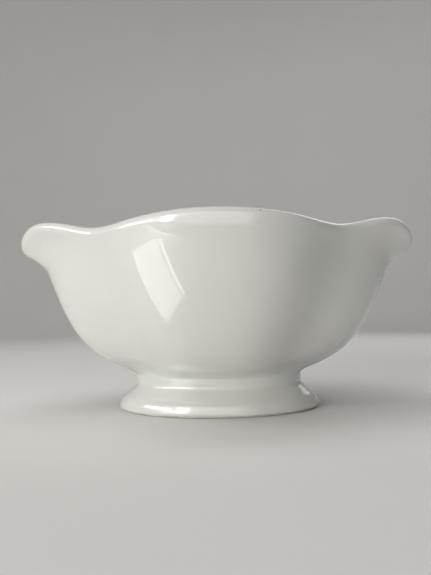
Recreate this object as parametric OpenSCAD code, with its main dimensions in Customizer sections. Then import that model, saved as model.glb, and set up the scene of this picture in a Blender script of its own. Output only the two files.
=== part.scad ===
// A double-lipped porcelain gravy boat on an oval pedestal foot.
// The bowl and the foot are cast apart, joined with slip and glazed over, all but the standing ring.
// Millimetres, +Z up, length along X. The origin is on the table, under the middle of the foot.

/* [Bowl] */
// Length over the two pouring lips
length = 198; // [185:1:220]
// Width over the two bulges, at the rim's outer edge
width = 111; // [100:1:122]
// Height of the rim's outer edge at the middle of each side, where its roll begins
rim_height = 85.8; // [80:0.2:100]
// Height of the roll over that edge
rim_roll = 3.6; // [2:0.2:5]
// Thickness of the wall and of its rolled rim
wall = 5; // [4:0.1:6]
// Height of the floor inside
floor_height = 21; // [20:0.5:24]

/* [Foot] */
// Length of the foot at its band
foot_length = 98.6; // [94:0.2:106]
// Width of the foot at its band
foot_width = 61.6; // [58:0.2:68]
// Height of the foot to the seam under the bowl
foot_height = 15; // [12:0.5:18]
// Length of the neck, where the foot meets the bowl
neck_length = 81.6; // [78:0.2:86]
// Width of the neck
neck_width = 47; // [44:0.5:50]

/* [Seam and glaze] */
// Thickness of the slip between the foot and the bowl
slip_thickness = 0.5; // [0.3:0.1:1]
// Thickness of the glaze
glaze = 0.3; // [0.2:0.05:0.5]
// Height at which the glaze stops above the bare standing ring
bare_height = 0.8; // [0.6:0.1:1.5]

/* [Detail] */
// Points round each ring, a multiple of 8
around = 48; // [32:8:64]
// Rings up the outside of the bowl
outer_rings = 17; // [12:1:20]
// Rings up the inside of the bowl
inner_rings = 13; // [10:1:16]
// Rings over the rolled rim
rim_rings = 5; // [4:1:8]

/* [Hidden] */

base_height = foot_height + slip_thickness;

// How the rim rises and falls: its height at the tip of a lip, at each eighth of the turn
// from there and at the middle of the side, over rim_height
rim_wave = [-16, 3.6, -7.2, -5.7, 0];

// How square the plans of the bulge and of the lips are, 2 being an oval, and how sharply they fold
// into each other
body_power = 2.4;
lip_power = 2.4;
fold_power = 6.5;

// Rings crowd towards the lips: this is the share of the turn kept across them
crowding = 0.5;

// Step along a surface when its slope is taken
slope_step = 0.001;

// The bowl above its neck, ring by ring: height from the neck to the rim, share of the rim's
// wave, length and width of the bulged body, length and width of the two lips, all as shares
body = [
    [0.063, 0.00, 0.318, 0.544, 0.474, 0.252],
    [0.152, 0.10, 0.340, 0.675, 0.606, 0.414],
    [0.345, 0.30, 0.414, 0.826, 0.720, 0.486],
    [0.569, 0.55, 0.470, 0.918, 0.791, 0.541],
    [0.792, 0.80, 0.520, 0.964, 0.846, 0.559],
    [0.934, 1.00, 0.545, 0.988, 0.876, 0.568],
    [1.000, 1.00, 0.571, 0.995, 0.970, 0.577]
];

// The outside of the foot, from the seam down: height as a share of the foot's, and how far
// in from the band towards the neck
foot_outside = [
    [1.00, 1.00], [0.90, 0.99], [0.77, 1.04], [0.63, 0.70], [0.53, 0.50],
    [0.43, 0.24], [0.27, 0.06], [0.11, -0.02], [0.02, 0], [0, 0.16]
];

// The recess under the foot, from the standing ring up, in the same shares
foot_recess = [[0, 0.66], [0.02, 0.78], [0.12, 0.86], [0.40, 1.02], [0.70, 1.42], [1.00, 1.60]];

// The bead of slip squeezed out inside the seam: depth under the bowl and reach from the recess
slip_bead = [[0.8, 0.8], [0.4, 1.4], [0, 1.6]];

// ---- Curves ----

// Clamped cubic B-spline: knots, and the weight of each control point at place v
function knot(i, count) = min(max(i - 3, 0), count - 3);
function ramp(part, whole) = whole > 0 ? part / whole : 0;
function weight(i, degree, v, count) =
    degree == 0 ? (knot(i, count) <= v && v < knot(i + 1, count) ? 1 : 0)
    : ramp(v - knot(i, count), knot(i + degree, count) - knot(i, count))
        * weight(i, degree - 1, v, count)
    + ramp(knot(i + degree + 1, count) - v, knot(i + degree + 1, count) - knot(i + 1, count))
        * weight(i + 1, degree - 1, v, count);
function weights(place, count) =
    let (v = min(max(place, 0), 1 - 1e-9) * (count - 3)) [for (i = [0:count - 1]) weight(i, 3, v, count)];

// Height of the rim over rim_height: a periodic cubic B-spline through rim_wave
function lift(i) = let (k = (i + 8) % 8) rim_wave[min(k, 8 - k)];
function wave(turn) =
    let (u = (turn + 360) % 180 / 22.5, i = floor(u), t = u - i, s = 1 - t)
    (s ^ 3 * lift(i - 1) + (3 * t ^ 3 - 6 * t ^ 2 + 4) * lift(i)
        + (3 * s ^ 3 - 6 * s ^ 2 + 4) * lift(i + 1) + t ^ 3 * lift(i + 2)) / 6;

// Direction of a point that is this far round its ring
function heading(turn) = atan2(crowding * sin(turn), cos(turn));

// A point of an oval
function oval(a, b, turn) =
    let (way = heading(turn), r = a == 0 ? 0 : 1 / norm([cos(way) / a, sin(way) / b]))
    r * [cos(way), sin(way)];

// How far a squared oval reaches this way
function reach(a, b, power, way) =
    ((abs(cos(way)) / a) ^ power + (abs(sin(way)) / b) ^ power) ^ (-1 / power);

// A point of the bowl's plan: a bulged body and two lips, the larger of them, softly folded together
function plan(a, b, lip_a, lip_b, turn) =
    let (way = heading(turn),
        body_r = reach(a, b, body_power, way),
        lip_r = reach(lip_a, lip_b, lip_power, way),
        r = (body_r ^ fold_power + lip_r ^ fold_power) ^ (1 / fold_power))
    r * [cos(way), sin(way)];

turns = [for (i = [0:around - 1]) 360 * i / around];
function unit(v) = v / norm(v);
function steps(count) = [for (i = [0:count - 1]) i / (count - 1)];

// ---- The bowl's surfaces ----

// Control points up the bowl at one turn: the body's rings over the given lowest ones
function body_column(turn) = [for (s = body)
    let (p = plan(s[2] * length / 2, s[3] * width / 2, s[4] * length / 2, s[5] * width / 2, turn))
    [p.x, p.y, base_height + s[0] * (rim_height - base_height) + s[1] * wave(turn)]];
function oval_column(rings, turn) = [for (s = rings) let (p = oval(s[1], s[2], turn)) [p.x, p.y, s[0]]];

// Lowest rings of the outside, at the neck, and of the belly that the inside follows
neck_rings = [
    [base_height, neck_length / 2, neck_width / 2],
    [base_height + 1.8, neck_length / 2 - 0.6, neck_width / 2 - 0.4]
];
belly_height = floor_height - wall;
belly_rings = [
    [belly_height, 0, 0],
    [belly_height, 26, 15]
];

function column(rings, turn) = concat(oval_column(rings, turn), body_column(turn));

// A grid of [point, outward normal], a ring for each place from 0 at the bottom to 1 at the rim
function surface_grid(rings, places) =
    let (count = len(rings) + len(body),
        here = [for (v = places) weights(v, count)],
        above = [for (v = places) weights(v + slope_step, count)],
        below = [for (v = places) weights(v - slope_step, count)],
        by_turn = [for (turn = turns)
            let (middle = column(rings, turn),
                along = here * column(rings, turn + slope_step) - here * column(rings, turn - slope_step),
                up = above * middle - below * middle,
                points = here * middle)
            [for (r = [0:len(places) - 1]) [points[r], cross(along[r], up[r])]]])
    [for (r = [0:len(places) - 1]) [for (side = by_turn) [side[r][0], unit(side[r][1])]]];

outer_grid = surface_grid(neck_rings, steps(outer_rings));
belly_grid = surface_grid(belly_rings, [for (v = steps(inner_rings)) if (v > 0) v]);

function points_of(grid, offset) = [for (ring = grid) [for (p = ring) p[0] + offset * p[1]]];
function reversed(list) = [for (i = [len(list) - 1:-1:0]) list[i]];

// The outside of the bowl going up, its rolled rim and its inside going down
bowl_outside = points_of(outer_grid, 0);
bowl_inside = reversed(points_of(belly_grid, -wall));
rim_edge = outer_grid[outer_rings - 1];
function rim_ring(angle) = [for (i = [0:around - 1])
    let (across = rim_edge[i][1],
        along = rim_edge[(i + 1) % around][0] - rim_edge[(i + around - 1) % around][0],
        up = unit(cross(across, along)))
    rim_edge[i][0] + wall / 2 * (cos(angle) - 1) * across + rim_roll * sin(angle) * up];
bowl_rim = [for (i = [1:rim_rings - 1]) rim_ring(180 * i / rim_rings)];

// ---- The foot's surfaces ----

// A ring of the foot: share 0 is the band and 1 is the neck
function foot_ring(height, share) = [for (turn = turns)
    let (p = oval(foot_length / 2 - share * (foot_length - neck_length) / 2,
            foot_width / 2 - share * (foot_width - neck_width) / 2, turn))
    [p.x, p.y, height]];
function foot_rings(shares, count) = [for (v = steps(count))
    let (s = weights(v, len(shares)) * shares) foot_ring(s[0] * foot_height, s[1])];

foot_up = reversed(foot_rings(foot_outside, 13));
recess_up = foot_rings(foot_recess, 7);

// Slip rings inside the seam, from the recess's top edge
recess_share = foot_recess[len(foot_recess) - 1][1];
recess_a = (foot_length - recess_share * (foot_length - neck_length)) / 2;
recess_b = (foot_width - recess_share * (foot_width - neck_width)) / 2;
bead_up = [for (s = slip_bead) [for (turn = turns)
    let (p = oval(recess_a - s[1], recess_b - s[1], turn)) [p.x, p.y, base_height - s[0]]]];

// A ring on the underside of the bowl, just inside the bead
ceiling_inset = 4;
ceiling_ring = [for (turn = turns)
    let (p = oval(recess_a - ceiling_inset, recess_b - ceiling_inset, turn)) [p.x, p.y, base_height]];

// ---- Solids from rings ----

// Two triangles between four corners, split across the shorter diagonal
function split(points, a, b, c, d) =
    norm(points[a] - points[c]) < norm(points[b] - points[d])
        ? [[a, b, c], [a, c, d]] : [[a, b, d], [b, c, d]];

function bands(points, first, rings, closed) = [
    for (r = [0:rings - (closed ? 1 : 2)]) for (i = [0:around - 1])
        let (low = first + r * around, high = first + (r + 1) % rings * around, j = (i + 1) % around)
        for (face = split(points, low + i, high + i, high + j, low + j)) face];

// A ring-shaped solid: its rings go once round its section
module ring_solid(rings) {
    points = [for (ring = rings) for (p = ring) p];
    polyhedron(points, bands(points, 0, len(rings), true));
}

// A solid closed by one point at each end
module capped_solid(bottom, rings, top) {
    last = len(rings) * around;
    points = concat([for (ring = rings) for (p = ring) p], [bottom, top]);
    polyhedron(points, concat(
        bands(points, 0, len(rings), false),
        [for (i = [0:around - 1]) [last, i, (i + 1) % around]],
        [for (i = [0:around - 1]) [last + 1, last - around + (i + 1) % around, last - around + i]]));
}

// Rings moved off a stack of rings, square to the surface that they lie on
function coated(rings, thickness) = let (last = len(rings) - 1) [for (r = [0:last])
    [for (i = [0:around - 1])
        let (along = rings[r][(i + 1) % around] - rings[r][(i + around - 1) % around],
            before = r > 0 ? unit(rings[r][i] - rings[r - 1][i]) : [0, 0, 0],
            after = r < last ? unit(rings[r + 1][i] - rings[r][i]) : [0, 0, 0])
        rings[r][i] + thickness * unit(cross(along, before + after))]];

// A skin between two stacks of rings, each closed by its own end point
module skin(inner, inner_end, outer, outer_end) {
    capped_solid(inner_end, concat(reversed(inner), outer), outer_end);
}

// ---- Sub-parts ----

floor_point = [0, 0, floor_height];
base_point = [0, 0, base_height];

module bowl() {
    color([0.93, 0.93, 0.91])
        capped_solid(base_point, concat(bowl_outside, bowl_rim, bowl_inside), floor_point);
}

module pedestal_foot() {
    color([0.88, 0.87, 0.84])
        ring_solid(concat(foot_up, reversed(recess_up)));
}

module luting_slip() {
    color([0.80, 0.78, 0.74])
        ring_solid(concat([foot_up[12]], [bowl_outside[0]], reversed(bead_up), [recess_up[6]]));
}

module glaze_coat() {
    rings = concat([for (ring = foot_up) if (ring[0].z >= bare_height) ring],
        bowl_outside, bowl_rim, bowl_inside);
    color([0.97, 0.98, 0.98, 0.5])
        skin(rings, floor_point, coated(rings, glaze), floor_point + [0, 0, glaze]);
}

module recess_glaze() {
    rings = concat([for (ring = recess_up) if (ring[0].z >= bare_height) ring], bead_up, [ceiling_ring]);
    color([0.97, 0.98, 0.98, 0.5])
        skin(coated(rings, -glaze), base_point - [0, 0, glaze], rings, base_point);
}

bowl();
pedestal_foot();
luting_slip();
glaze_coat();
recess_glaze();
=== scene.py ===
"""A double-lipped porcelain gravy boat: its glaze, its porcelain and a small studio round it.

The sizes are the CAD part's own, repeated below. The surfaces are made again from them as smooth, fine
meshes, and take procedural glaze and bare porcelain. The CAD frame is read for its nodes, which are hidden.
"""
import math

import bpy
import numpy as np
from mathutils import Matrix, Vector, noise


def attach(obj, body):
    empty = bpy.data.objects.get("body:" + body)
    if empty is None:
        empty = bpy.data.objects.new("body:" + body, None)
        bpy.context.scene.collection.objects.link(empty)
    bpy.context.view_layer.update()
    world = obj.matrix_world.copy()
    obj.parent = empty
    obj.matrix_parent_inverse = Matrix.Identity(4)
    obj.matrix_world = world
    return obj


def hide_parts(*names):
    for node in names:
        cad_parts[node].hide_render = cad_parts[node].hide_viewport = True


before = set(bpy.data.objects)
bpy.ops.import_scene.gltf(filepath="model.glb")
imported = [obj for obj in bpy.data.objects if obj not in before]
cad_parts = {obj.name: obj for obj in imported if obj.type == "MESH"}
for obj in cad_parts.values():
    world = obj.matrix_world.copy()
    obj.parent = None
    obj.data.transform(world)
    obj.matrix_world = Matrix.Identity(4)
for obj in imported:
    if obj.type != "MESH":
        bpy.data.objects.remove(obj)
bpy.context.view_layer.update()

MM = 0.001

# ---- The design, in millimetres, as in the CAD part ----

# These are not all set by hand. RIM_WAVE, the three powers, most of BODY, part of FOOT_OUTSIDE and lengths
# such as FOOT_LENGTH were found by a numerical fit to the photograph and rounded. So were the camera, the
# low window and the place of the nick, further down.

LENGTH = 198
WIDTH = 111
RIM_HEIGHT = 85.8
RIM_ROLL = 3.6
WALL = 5
FLOOR_HEIGHT = 21
FOOT_LENGTH = 98.6
FOOT_WIDTH = 61.6
FOOT_HEIGHT = 15
NECK_LENGTH = 81.6
NECK_WIDTH = 47
BASE_HEIGHT = 15.5
GLAZE = 0.3
BARE_HEIGHT = 0.8
# Control heights of the rim's rise and fall: at the tip of a lip, at each quarter of the way round to
# the middle of the side, and there
RIM_WAVE = [-16, 3.6, -7.2, -5.7, 0]
# How square the plans of the bulge and the lips are, 2 being an oval, and how sharply they fold together
BODY_POWER = 2.4
LIP_POWER = 2.4
FOLD_POWER = 6.5
# Rings crowd towards the lips: the share of the turn kept across them
CROWDING = 0.5
# Step along a surface when its slope is taken
SLOPE_STEP = 1e-3

# Height, share of the rim's wave, length and width of the body, length and width of the lips
BODY = np.array([
    [0.063, 0.00, 0.318, 0.544, 0.474, 0.252],
    [0.152, 0.10, 0.340, 0.675, 0.606, 0.414],
    [0.345, 0.30, 0.414, 0.826, 0.720, 0.486],
    [0.569, 0.55, 0.470, 0.918, 0.791, 0.541],
    [0.792, 0.80, 0.520, 0.964, 0.846, 0.559],
    [0.934, 1.00, 0.545, 0.988, 0.876, 0.568],
    [1.000, 1.00, 0.571, 0.995, 0.970, 0.577],
])
# Height and half axes of the bowl's lowest rings: outside at the neck, and of the belly, from which the
# inside is set in by the wall's thickness
NECK_RINGS = [
    [BASE_HEIGHT, NECK_LENGTH / 2, NECK_WIDTH / 2],
    [BASE_HEIGHT + 1.8, NECK_LENGTH / 2 - 0.6, NECK_WIDTH / 2 - 0.4],
]
BELLY_HEIGHT = FLOOR_HEIGHT - WALL
BELLY_RINGS = [[BELLY_HEIGHT, 0, 0], [BELLY_HEIGHT, 26, 15]]

# Height and share of the way from the band to the neck
FOOT_OUTSIDE = np.array([
    [1.00, 1.00], [0.90, 0.99], [0.77, 1.04], [0.63, 0.70], [0.53, 0.50],
    [0.43, 0.24], [0.27, 0.06], [0.11, -0.02], [0.02, 0], [0, 0.16],
])
FOOT_RECESS = np.array([[0, 0.66], [0.02, 0.78], [0.12, 0.86], [0.40, 1.02], [0.70, 1.42], [1.00, 1.60]])

# The bead of slip: depth under the bowl and reach in from the recess. The glaze over the bowl's
# underside starts a little further in.
SLIP_BEAD = [[0.8, 0.8], [0.4, 1.4], [0, 1.6]]
CEILING_INSET = 4

# The glaze's unevenness, and how far in from its bare edge it takes its full thickness
SWELL_HEIGHT = 0.03
SWELL_LENGTH = 16
GLAZE_TAPER = 1.2
# At that edge it has the square root of 1 - EDGE_LOSS of its thickness
EDGE_LOSS = 0.94


# ---- Curves ----

def weights(places, count):
    """Weights of count control points of a clamped cubic B-spline, a row for each place from 0 to 1."""
    v = np.clip(places, 0, 1 - 1e-9) * (count - 3)
    knots = np.clip(np.arange(count + 4) - 3, 0, count - 3)
    table = ((knots[:-1] <= v[:, None]) & (v[:, None] < knots[1:])).astype(float)
    for degree in (1, 2, 3):
        n = table.shape[1] - 1
        rise = knots[degree:degree + n] - knots[:n]
        fall = knots[degree + 1:degree + 1 + n] - knots[1:1 + n]
        end = knots[degree + 1:degree + 1 + n]
        up = np.where(rise > 0, (v[:, None] - knots[:n]) / np.where(rise > 0, rise, 1), 0)
        down = np.where(fall > 0, (end - v[:, None]) / np.where(fall > 0, fall, 1), 0)
        table = up * table[:, :-1] + down * table[:, 1:]
    return table


def wave(turns):
    """Height of the rim over RIM_HEIGHT: a periodic cubic B-spline with RIM_WAVE as its controls."""
    u = np.degrees(turns) % 180 / 22.5
    i = np.floor(u).astype(int)
    t = u - i
    lift = np.array(RIM_WAVE + RIM_WAVE[3:0:-1])
    blend = [(1 - t) ** 3, 3 * t ** 3 - 6 * t ** 2 + 4, 3 * (1 - t) ** 3 - 6 * (1 - t) ** 2 + 4, t ** 3]
    return sum(b * lift[(i + k - 1) % 8] for k, b in enumerate(blend)) / 6


def heading(turns):
    """Cosine and sine of the way out to a point that is this far round its ring."""
    way = np.arctan2(CROWDING * np.sin(turns), np.cos(turns))
    return np.cos(way), np.sin(way)


def oval(a, b, turns):
    """Points of a flat oval, or its middle if it has no length."""
    c, s = heading(turns)
    r = 0 if a == 0 else 1 / np.hypot(c / a, s / b)
    return np.stack([r * c, r * s], -1)


def reach(a, b, power, c, s):
    """How far a squared oval reaches this way."""
    return (np.abs(c / a) ** power + np.abs(s / b) ** power) ** (-1 / power)


def plan(a, b, lip_a, lip_b, turns):
    """The bowl's plan: a bulged body and two lips, the larger of them, softly folded together."""
    c, s = heading(turns)
    body = reach(a, b, BODY_POWER, c, s)
    lip = reach(lip_a, lip_b, LIP_POWER, c, s)
    r = (body ** FOLD_POWER + lip ** FOLD_POWER) ** (1 / FOLD_POWER)
    return np.stack([r * c, r * s], -1)


def ring(flat, height):
    """Flat points raised to one height, or to a height each."""
    return np.concatenate([flat, np.broadcast_to(height, flat.shape[:1])[:, None]], -1)


def control_net(low_rings, turns):
    """Control points of the bowl, [ring, turn, xyz]."""
    low = [ring(oval(a, b, turns), z) for z, a, b in low_rings]
    high = [ring(plan(a * LENGTH / 2, b * WIDTH / 2, c * LENGTH / 2, d * WIDTH / 2, turns),
                 BASE_HEIGHT + z * (RIM_HEIGHT - BASE_HEIGHT) + lift * wave(turns))
            for z, lift, a, b, c, d in BODY]
    return np.array(low + high)


def unit(v):
    return v / np.linalg.norm(v, axis=-1, keepdims=True)


def surface(low_rings, places, turns):
    """Points of the bowl's outside or belly and their outward normals, a ring for each place."""
    count = len(low_rings) + len(BODY)

    def at(shift_place, shift_turn):
        net = control_net(low_rings, turns + shift_turn)
        return np.einsum("vk,ktc->vtc", weights(places + shift_place, count), net)

    along = at(0, SLOPE_STEP) - at(0, -SLOPE_STEP)
    up = at(SLOPE_STEP, 0) - at(-SLOPE_STEP, 0)
    return at(0, 0), unit(np.cross(along, up))


def ring_slopes(rings):
    """Normals of a stack of rings, from its own points."""
    along = np.roll(rings, -1, 1) - np.roll(rings, 1, 1)
    step = unit(np.diff(rings, axis=0))
    up = np.concatenate([step[:1], step[1:] + step[:-1], step[-1:]])
    return unit(np.cross(along, up))


class Boat:
    """The boat's stacks of rings at one fineness, each going on from the one before."""

    def __init__(self, around, outside, rim, inside, foot, recess):
        turns = np.linspace(0, 2 * math.pi, around, endpoint=False)
        self.outside, normals = surface(NECK_RINGS, np.linspace(0, 1, outside), turns)
        edge, across = self.outside[-1], normals[-1]
        along = np.roll(edge, -1, 0) - np.roll(edge, 1, 0)
        up = unit(np.cross(across, along))
        angles = np.pi * np.arange(1, rim) / rim
        self.rim = np.array([edge + WALL / 2 * (np.cos(t) - 1) * across + RIM_ROLL * np.sin(t) * up
                             for t in angles])
        belly, normals = surface(BELLY_RINGS, np.linspace(0, 1, inside)[1:], turns)
        self.inside = (belly - WALL * normals)[::-1]
        self.foot = self.foot_rings(FOOT_OUTSIDE, foot, turns)[::-1]
        self.recess = self.foot_rings(FOOT_RECESS, recess, turns)
        a, b = self.foot_axes(FOOT_RECESS[-1, 1])
        self.bead = np.array([ring(oval(a - inset, b - inset, turns), BASE_HEIGHT - drop)
                              for drop, inset in SLIP_BEAD])
        self.ceiling = np.array([ring(oval(a - CEILING_INSET, b - CEILING_INSET, turns), BASE_HEIGHT)])

    @staticmethod
    def foot_axes(share):
        """Half axes of the foot this share of the way from the band to the neck."""
        return ((FOOT_LENGTH - share * (FOOT_LENGTH - NECK_LENGTH)) / 2,
                (FOOT_WIDTH - share * (FOOT_WIDTH - NECK_WIDTH)) / 2)

    def foot_rings(self, shares, count, turns):
        """Rings along the smooth curve that a section's points control, given as heights and shares."""
        curve = weights(np.linspace(0, 1, count), len(shares)) @ shares
        return np.array([ring(oval(*self.foot_axes(s), turns), z * FOOT_HEIGHT) for z, s in curve])


# ---- Meshes ----

def mesh_piece(name, rings, ends=None):
    """A closed mesh from rings, [ring, turn, xyz] in millimetres.

    The last ring joins the first, or each end is closed by a point of its own.
    """
    count, around = rings.shape[:2]
    points = rings.reshape(-1, 3)
    index = np.arange(count * around).reshape(count, around)
    low, high = (index, np.roll(index, -1, 0)) if ends is None else (index[:-1], index[1:])
    quads = np.stack([low, np.roll(low, -1, 1), np.roll(high, -1, 1), high], -1).reshape(-1, 4)
    faces = quads.tolist()
    if ends is not None:
        points = np.concatenate([points, np.array(ends)])
        first, last = len(points) - 2, len(points) - 1
        for i in range(around):
            j = (i + 1) % around
            faces.append([first, j, i])
            faces.append([last, int(index[-1, i]), int(index[-1, j])])
    mesh = bpy.data.meshes.new(name)
    mesh.from_pydata((points * MM).tolist(), [], faces)
    mesh.polygons.foreach_set("use_smooth", [True] * len(mesh.polygons))
    mesh.update()
    piece = bpy.data.objects.new(name, mesh)
    bpy.context.scene.collection.objects.link(piece)
    return piece


def coat(rings, thickness):
    """Rings moved off the surface, with the glaze's own unevenness, and thinned out at the first one."""
    slopes = ring_slopes(rings)
    run = np.concatenate([np.zeros((1, rings.shape[1])),
                          np.cumsum(np.linalg.norm(np.diff(rings, axis=0), axis=-1), axis=0)])
    edge = np.clip(run / GLAZE_TAPER, 0, 1)
    depth = thickness * np.sqrt(1 - (1 - edge) ** 2 * EDGE_LOSS)
    depth = depth + np.sign(thickness) * edge * unevenness(rings)
    return rings + slopes * depth[..., None]


def unevenness(rings):
    """How much the glaze swells and thins over a surface, in millimetres."""
    swell = [SWELL_HEIGHT * noise.noise(Vector(p) / SWELL_LENGTH) for p in rings.reshape(-1, 3).tolist()]
    return np.array(swell).reshape(rings.shape[:2])


# One boat for the porcelain, which shows only at the standing ring, and one for the glaze. The glaze's
# is finer round each ring, and the porcelain's has more rings down the foot and up the recess.
body = Boat(around=128, outside=60, rim=12, inside=50, foot=90, recess=40)
fine = Boat(around=256, outside=80, rim=16, inside=50, foot=48, recess=32)


def above_bare(rings):
    """The rings that the glaze covers, without the bare standing ring."""
    return rings[rings[:, 0, 2] >= BARE_HEIGHT]


def skin(name, inner, outer, inner_end, outer_end):
    """A closed skin between two stacks of rings, whose last rings are closed by a point each."""
    return mesh_piece(name, np.concatenate([inner[::-1], outer]), [inner_end, outer_end])


bowl = mesh_piece("porcelain_bowl", np.concatenate([body.outside, body.rim, body.inside]),
                  [(0, 0, BASE_HEIGHT), (0, 0, FLOOR_HEIGHT)])
foot = mesh_piece("porcelain_foot", np.concatenate([body.foot, body.recess[::-1]]))
slip = mesh_piece("joining_slip",
                  np.concatenate([body.foot[-1:], body.outside[:1], body.bead[::-1], body.recess[-1:]]))

covered = np.concatenate([above_bare(fine.foot), fine.outside, fine.rim, fine.inside])
outer_glaze = skin("outer_glaze", covered, coat(covered, GLAZE),
                   (0, 0, FLOOR_HEIGHT), (0, 0, FLOOR_HEIGHT + GLAZE))
hollow = np.concatenate([above_bare(fine.recess), fine.bead, fine.ceiling])
under_glaze = skin("under_glaze", coat(hollow, -GLAZE), hollow,
                   (0, 0, BASE_HEIGHT - GLAZE), (0, 0, BASE_HEIGHT))

PIECES = [
    (bowl, "bowl", "bowl_porcelain"),
    (foot, "pedestal_foot", "foot_porcelain"),
    (slip, "luting_slip", "slip"),
    (outer_glaze, "glaze_coat", "glaze"),
    (under_glaze, "recess_glaze", "glaze"),
]
for piece, node, slot in PIECES:
    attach(piece, "root")
    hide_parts(node)


# ---- Materials, in metres ----

BUMP_DEPTH = 0.0002
# A tiny nick in the rim's glaze, a little right of its middle
NICK = (0.0170, -0.0540, 0.0860)
NICK_RADIUS = 0.0007
# The crease at the neck, where glaze pools: where it begins, is fullest from and to, and ends
CREASE = (0.0080, 0.0150, 0.0175, 0.0260)


def new_material(name):
    material = bpy.data.materials.new(name)
    material.use_nodes = True
    tree = material.node_tree
    return material, tree, tree.nodes["Principled BSDF"]


def link(tree, source, socket):
    tree.links.new(source, socket)


def noise_node(tree, scale, detail=2.0, roughness=0.5):
    """Noise over the object's own coordinates: scale is in features to the metre."""
    place = tree.nodes.new("ShaderNodeTexCoord")
    texture = tree.nodes.new("ShaderNodeTexNoise")
    texture.inputs["Scale"].default_value = scale
    texture.inputs["Detail"].default_value = detail
    texture.inputs["Roughness"].default_value = roughness
    link(tree, place.outputs["Object"], texture.inputs["Vector"])
    return texture.outputs["Fac"]


def ramp(tree, value, stops):
    node = tree.nodes.new("ShaderNodeValToRGB")
    elements = node.color_ramp.elements
    while len(elements) < len(stops):
        elements.new(0.5)
    for element, (place, colour) in zip(elements, stops):
        element.position = place
        element.color = (*colour, 1)
    link(tree, value, node.inputs["Fac"])
    return node.outputs["Color"]


def map_range(tree, value, low, high, to_low, to_high):
    node = tree.nodes.new("ShaderNodeMapRange")
    node.interpolation_type = "SMOOTHSTEP"
    for name, number in zip(("From Min", "From Max", "To Min", "To Max"), (low, high, to_low, to_high)):
        node.inputs[name].default_value = number
    link(tree, value, node.inputs["Value"])
    return node.outputs["Result"]


def mix(tree, factor, a, b, blend="MIX"):
    node = tree.nodes.new("ShaderNodeMix")
    node.data_type = "RGBA"
    node.blend_type = blend
    for socket, value in ((node.inputs[0], factor), (node.inputs[6], a), (node.inputs[7], b)):
        if isinstance(value, bpy.types.NodeSocket):
            link(tree, value, socket)
        else:
            socket.default_value = (*value, 1) if isinstance(value, tuple) else value
    return node.outputs[2]


def maths(tree, operation, a, b):
    node = tree.nodes.new("ShaderNodeMath")
    node.operation = operation
    for socket, value in zip(node.inputs, (a, b)):
        if isinstance(value, bpy.types.NodeSocket):
            link(tree, value, socket)
        else:
            socket.default_value = value
    return node.outputs[0]


def bump(tree, height, strength, shader):
    node = tree.nodes.new("ShaderNodeBump")
    node.inputs["Strength"].default_value = strength
    node.inputs["Distance"].default_value = BUMP_DEPTH
    link(tree, height, node.inputs["Height"])
    link(tree, node.outputs["Normal"], shader.inputs["Normal"])


def height_of(tree):
    """Height over the table."""
    place = tree.nodes.new("ShaderNodeTexCoord")
    split = tree.nodes.new("ShaderNodeSeparateXYZ")
    link(tree, place.outputs["Object"], split.inputs[0])
    return split.outputs["Z"]


def distance_from(tree, point):
    """Distance from a point of the boat."""
    place = tree.nodes.new("ShaderNodeTexCoord")
    node = tree.nodes.new("ShaderNodeVectorMath")
    node.operation = "DISTANCE"
    node.inputs[1].default_value = point
    link(tree, place.outputs["Object"], node.inputs[0])
    return node.outputs["Value"]


def glaze_material():
    """White glaze: faint clouds, a greyer pool in the crease, one nick, and a clear glossy coat."""
    material, tree, shader = new_material("white_glaze")
    clouds = noise_node(tree, 22, 3)
    white = ramp(tree, clouds, [(0.3, (0.735, 0.745, 0.725)), (0.7, (0.765, 0.768, 0.742))])
    height = height_of(tree)
    below = map_range(tree, height, CREASE[0], CREASE[1], 0, 1)
    above = map_range(tree, height, CREASE[2], CREASE[3], 1, 0)
    pooled = maths(tree, "MULTIPLY", maths(tree, "MULTIPLY", below, above), 0.35)
    colour = mix(tree, pooled, white, (0.66, 0.685, 0.665))
    nick = map_range(tree, distance_from(tree, NICK), 0.0002, NICK_RADIUS, 0.7, 0)
    link(tree, mix(tree, nick, colour, (0.30, 0.28, 0.25)), shader.inputs["Base Color"])
    link(tree, map_range(tree, noise_node(tree, 60, 2), 0.3, 0.7, 0.19, 0.26), shader.inputs["Roughness"])
    shader.inputs["IOR"].default_value = 1.5
    shader.inputs["Specular IOR Level"].default_value = 0.2
    shader.inputs["Coat Weight"].default_value = 1.0
    shader.inputs["Coat Roughness"].default_value = 0.02
    shader.inputs["Coat IOR"].default_value = 1.52
    bump(tree, noise_node(tree, 420, 2), 0.05, shader)
    return material


def biscuit_material(name, light, dark):
    """Fired, unglazed clay: a fine grain of two tones with a few smudges."""
    material, tree, shader = new_material(name)
    colour = ramp(tree, noise_node(tree, 900, 6, 0.65), [(0.32, dark), (0.62, light)])
    smudges = ramp(tree, noise_node(tree, 120, 4, 0.6), [(0.45, (1, 1, 1)), (0.75, (0.80, 0.78, 0.75))])
    link(tree, mix(tree, 0.8, colour, smudges, "MULTIPLY"), shader.inputs["Base Color"])
    shader.inputs["Roughness"].default_value = 0.72
    bump(tree, noise_node(tree, 2600, 4, 0.7), 0.35, shader)
    return material


glaze = glaze_material()
for piece in (outer_glaze, under_glaze):
    piece.data.materials.append(glaze)
bowl.data.materials.append(biscuit_material("bowl_biscuit", (0.78, 0.77, 0.73), (0.70, 0.69, 0.65)))
foot.data.materials.append(biscuit_material("foot_biscuit", (0.74, 0.72, 0.67), (0.60, 0.58, 0.53)))
slip.data.materials.append(biscuit_material("slip_biscuit", (0.72, 0.70, 0.65), (0.62, 0.60, 0.55)))


# ---- Studio ----

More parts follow.
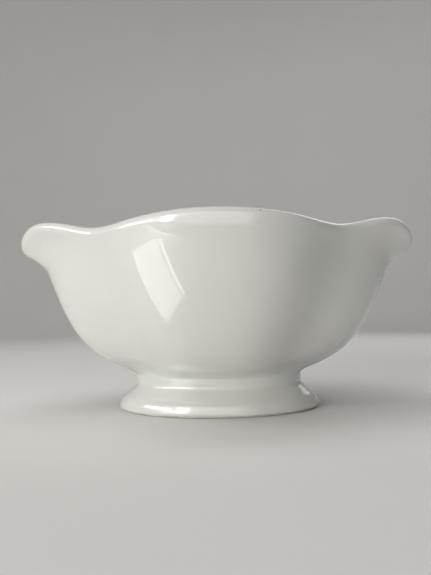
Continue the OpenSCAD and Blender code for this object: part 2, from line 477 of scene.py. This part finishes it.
def stage_material():
    material, tree, shader = new_material("pale_floor")
    colour = ramp(tree, noise_node(tree, 6, 4), [(0.3, (0.765, 0.755, 0.735)), (0.7, (0.775, 0.765, 0.745))])
    link(tree, colour, shader.inputs["Base Color"])
    shader.inputs["Roughness"].default_value = 0.9
    shader.inputs["Specular IOR Level"].default_value = 0.0
    return material


def sweep(flat, bend, height, around=96, steps=24):
    """A pale floor that curves up into a wall all round, with no edge in view."""
    profile = [(flat * k / 4, 0) for k in range(1, 5)]
    angles = [math.pi / 2 * k / steps for k in range(1, steps + 1)]
    profile += [(flat + bend * math.sin(t), bend * (1 - math.cos(t))) for t in angles]
    profile.append((flat + bend, height))
    verts = [(0, 0, 0)] + [(r * math.cos(2 * math.pi * i / around), r * math.sin(2 * math.pi * i / around), z)
                           for r, z in profile for i in range(around)]
    faces = [(0, 1 + i, 1 + (i + 1) % around) for i in range(around)]
    for k in range(len(profile) - 1):
        for i in range(around):
            j = (i + 1) % around
            low, high = 1 + k * around, 1 + (k + 1) * around
            faces.append((low + i, high + i, high + j, low + j))
    mesh = bpy.data.meshes.new("studio_floor")
    mesh.from_pydata(verts, [], faces)
    mesh.polygons.foreach_set("use_smooth", [True] * len(mesh.polygons))
    floor = bpy.data.objects.new("studio_floor", mesh)
    bpy.context.scene.collection.objects.link(floor)
    mesh.materials.append(stage_material())


def direction(azimuth, elevation):
    """Unit vector from the boat: azimuth 0 is towards the camera's side, and positive is to its right."""
    a, e = math.radians(azimuth), math.radians(elevation)
    return Vector((math.sin(a) * math.cos(e), -math.cos(a) * math.cos(e), math.sin(e)))


def panel(name, place, facing, width, height, power, colour, seen_in_gloss=True, tilt=0):
    """A rectangular lamp that faces along a vector, with its height up the slope of its face."""
    light = bpy.data.lights.new(name, "AREA")
    light.shape = "RECTANGLE"
    light.size = width
    light.size_y = height
    light.energy = power
    light.color = colour
    lamp = bpy.data.objects.new(name, light)
    turn = facing.to_track_quat("-Z", "Y").to_matrix().to_4x4()
    lamp.matrix_world = Matrix.Translation(place) @ turn @ Matrix.Rotation(math.radians(tilt), 4, "Z")
    bpy.context.scene.collection.objects.link(lamp)
    lamp.visible_camera = False
    lamp.visible_glossy = seen_in_gloss
    return lamp


def window(name, place, facing, width, height, glow, tilt=0):
    """A window pane that lights nothing and only shows as a reflection: glow is its brightness."""
    power = glow * math.pi * width * height
    pane = panel(name, place, facing, width, height, power, (1.0, 1.0, 0.98), tilt=tilt)
    pane.visible_diffuse = False
    pane.visible_transmission = False


MIDDLE = Vector((0, 0, 0.055))


def round_the_boat(azimuth, elevation, distance):
    """A place at this distance from the middle of the boat, and the way back to it."""
    way = direction(azimuth, elevation)
    return MIDDLE + distance * way, -way


sweep(flat=1.1, bend=0.5, height=1.6)

# Lamps that light the boat and the wall. Of these, only back_fill shows in gloss.
panel("key", *round_the_boat(-43, 8, 0.9), width=0.45, height=0.45, power=5.0,
      colour=(1.0, 0.985, 0.93), seen_in_gloss=False)
panel("top", *round_the_boat(-60, 68, 0.9), width=0.7, height=0.7, power=3.1,
      colour=(1.0, 1.0, 1.0), seen_in_gloss=False)
panel("backdrop", Vector((0, 0.3, 1.5)), Vector((0, 1, -1.0)), width=1.4, height=0.4, power=5,
      colour=(1.0, 1.0, 1.0), seen_in_gloss=False)
panel("back_fill", *round_the_boat(145, 35, 0.9), width=0.5, height=0.5, power=0.9,
      colour=(0.97, 0.99, 1.0))

# A window low to the left, in two panes with a bar between them
LOW_PLACE = Vector((-0.078, -0.111, 0.017))
LOW_FACING = Vector((0.80, 0.01, 0.60))
LOW_HEIGHT = 0.107
window("low_window", LOW_PLACE + Vector((0, 0.0095, 0)), LOW_FACING,
       width=0.074, height=LOW_HEIGHT, glow=2.6, tilt=2)
window("low_window_strip", LOW_PLACE + Vector((0, -0.041, 0)), LOW_FACING,
       width=0.013, height=LOW_HEIGHT, glow=4.0, tilt=2)

# Three more for the rim, for the neck and band, and for the soft light along all of them
window("rim_window", Vector((-0.258, -0.168, 0.129)), Vector((0.83, 0.48, -0.17)),
       width=0.18, height=0.05, glow=12)
window("front_window", *round_the_boat(-31, 17, 0.8), width=0.17, height=0.46, glow=6)
window("wide_window", *round_the_boat(-20, 20, 0.9), width=1.5, height=0.62, glow=1.7)

world = bpy.data.worlds.new("studio_air")
world.use_nodes = True
world.node_tree.nodes["Background"].inputs["Color"].default_value = (0.93, 0.96, 1.0, 1)
world.node_tree.nodes["Background"].inputs["Strength"].default_value = 0.06
bpy.context.scene.world = world
bpy.context.scene.view_settings.view_transform = "Standard"


# ---- Camera ----

SENSOR_WIDTH = 36
LENS = 27.55
TARGET = Vector((-0.0011, 0, 0.0594))
DISTANCE = 0.2258
# Degrees: how far the camera stands above the target's level, how far it turns right, and its roll
ELEVATION = -4
YAW = 0.2
ROLL = -0.9


def camera():
    data = bpy.data.cameras.new("view")
    data.sensor_width = SENSOR_WIDTH
    data.lens = LENS
    data.clip_start = 0.005
    data.clip_end = 20
    eye = bpy.data.objects.new("view", data)
    forward = -direction(-YAW, ELEVATION)
    eye.location = TARGET - DISTANCE * forward
    turn = forward.to_track_quat("-Z", "Y").to_matrix().to_4x4()
    eye.rotation_euler = (turn @ Matrix.Rotation(math.radians(ROLL), 4, "Z")).to_euler()
    bpy.context.scene.collection.objects.link(eye)
    bpy.context.scene.camera = eye


camera()
